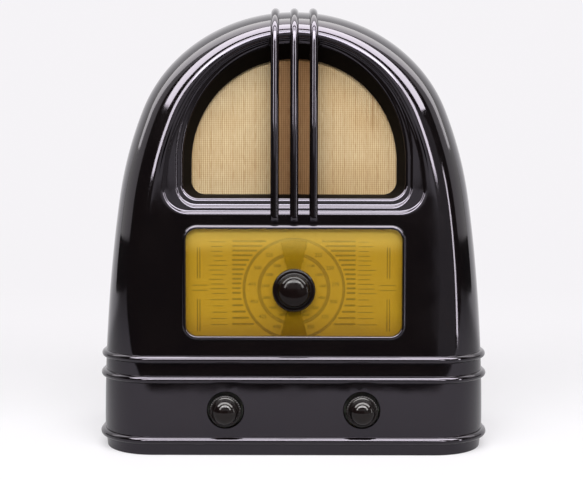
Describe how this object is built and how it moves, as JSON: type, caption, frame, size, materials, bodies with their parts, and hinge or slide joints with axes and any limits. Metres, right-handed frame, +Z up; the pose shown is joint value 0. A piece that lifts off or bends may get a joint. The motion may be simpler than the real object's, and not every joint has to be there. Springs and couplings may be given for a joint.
{
  "type": "table radio",
  "caption": "Arch-topped black moulded table radio with valves, a cloth-backed speaker opening crossed by ribs, a recessed amber dial, a ball-drive tuning knob and two lower knobs.",
  "frame": {"origin": "under the middle of the whole set, knobs included, on the surface that it stands on", "axes": "+Z up, the dial and the speaker face -Y, +X is the right side seen from the front"},
  "size_m": [0.3588, 0.244, 0.4075],
  "materials": {
    "black_bakelite": "polished black phenolic moulding with a faint brown tint",
    "knob_bakelite": "polished black phenolic moulding",
    "speaker_cloth": "loosely woven slubby tan cotton, a little stained",
    "baffle_wood": "bare plywood",
    "brass": "bright, slightly tarnished",
    "amber_celluloid": "clear sheet, gone amber with age",
    "dial_paint": "printed scale on amber celluloid",
    "bare_steel": "cadmium-plated steel",
    "painted_steel": "grey-painted steel",
    "black_steel": "black-painted steel",
    "spun_aluminium": "spun and drawn, satin",
    "sheet_aluminium": "punched sheet, satin",
    "clear_glass": "clear blown glass",
    "lamp_glass": "clear blown glass",
    "sprayed_glass": "blown glass sprayed with bronze metal",
    "valve_base_bakelite": "dark brown phenolic",
    "paxolin": "resin-bonded paper board",
    "laminations": "stacked and varnished iron laminations",
    "wound_copper": "copper wire under waxed paper",
    "field_wire": "enamelled copper wire",
    "nickel_electrodes": "carbonised nickel",
    "cotton_lead": "rubber lead in braided cotton",
    "cone_paper": "pulp paper",
    "soft_surround": "thin treated leather",
    "spider_cloth": "varnished cloth",
    "back_board": "pressed fibre board",
    "rubber": "black rubber",
    "ceramic_parts": "lacquered resistors and waxed capacitors"
  },
  "bodies": {
    "root": {"cabinet": "black_bakelite", "speaker_cloth": "speaker_cloth", "baffle_board": "baffle_wood", "baffle_screws": "brass", "dial_window": "amber_celluloid", "dial_scale": "dial_paint", "dial_back_plate": "painted_steel", "dial_screws": "bare_steel", "dial_lamps": "lamp_glass", "lamp_holders": "brass", "drive_housing": "brass", "gang_frame": "sheet_aluminium", "gang_stators": "sheet_aluminium", "gang_bracket": "painted_steel", "volume_control": "black_steel", "wave_switch": "paxolin", "control_nuts": "brass", "chassis": "painted_steel", "chassis_bolts": "bare_steel", "transformer_cores": "laminations", "transformer_coils": "wound_copper", "smoothing_cans": "spun_aluminium", "if_cans": "spun_aluminium", "coil_can": "spun_aluminium", "valve_holders": "paxolin", "valve_bases": "valve_base_bakelite", "screened_valves": "sprayed_glass", "clear_valves": "clear_glass", "valve_electrodes": "nickel_electrodes", "top_caps": "brass", "top_cap_leads": "cotton_lead", "speaker_frame": "black_steel", "speaker_magnet": "black_steel", "field_coil": "field_wire", "speaker_bolts": "bare_steel", "back_cover": "back_board", "back_screws": "brass", "socket_strip": "paxolin", "sockets": "brass", "mains_grommet": "rubber", "component_board": "paxolin", "small_parts": "ceramic_parts"},
    "gang": {"gang_rotor": "sheet_aluminium", "pointer": "painted_steel", "drive_carrier": "brass", "drive_balls": "bare_steel"},
    "tuning": {"tuning_knob": "knob_bakelite", "tuning_knob_screw": "bare_steel", "tuning_spindle": "bare_steel"},
    "volume": {"volume_knob": "knob_bakelite", "volume_knob_screw": "bare_steel", "volume_spindle": "bare_steel"},
    "wave_change": {"wave_knob": "knob_bakelite", "wave_knob_screw": "bare_steel", "wave_spindle": "bare_steel"},
    "cone": {"speaker_cone": "cone_paper", "cone_surround": "soft_surround", "speaker_spider": "spider_cloth", "voice_coil": "wound_copper", "dust_cap": "cone_paper"}
  },
  "joints": [
    {"name": "gang_turn", "type": "hinge", "parent": "root", "child": "gang", "pos_m": [0, -0.104, 0.148], "axis": [0, 1, 0], "range_deg": [-90, 90]},
    {"name": "tuning_knob_turn", "type": "hinge", "parent": "root", "child": "tuning", "pos_m": [0, -0.104, 0.148], "axis": [0, 1, 0], "range_deg": [-540, 540]},
    {"name": "volume_turn", "type": "hinge", "parent": "root", "child": "volume", "pos_m": [-0.0605, -0.104, 0.041], "axis": [0, 1, 0], "range_deg": [-150, 150]},
    {"name": "wave_change_turn", "type": "hinge", "parent": "root", "child": "wave_change", "pos_m": [0.0605, -0.104, 0.041], "axis": [0, 1, 0], "range_deg": [-60, 60]},
    {"name": "cone_travel", "type": "slide", "parent": "root", "child": "cone", "axis": [0, 1, 0], "range_m": [-0.0015, 0.0015], "stiffness_N_per_m": 4000, "deforming": ["cone_surround", "speaker_spider"]}
  ],
  "couplings": [
    {"joint": "tuning_knob_turn", "follows": "gang_turn", "ratio": 6}
  ]
}
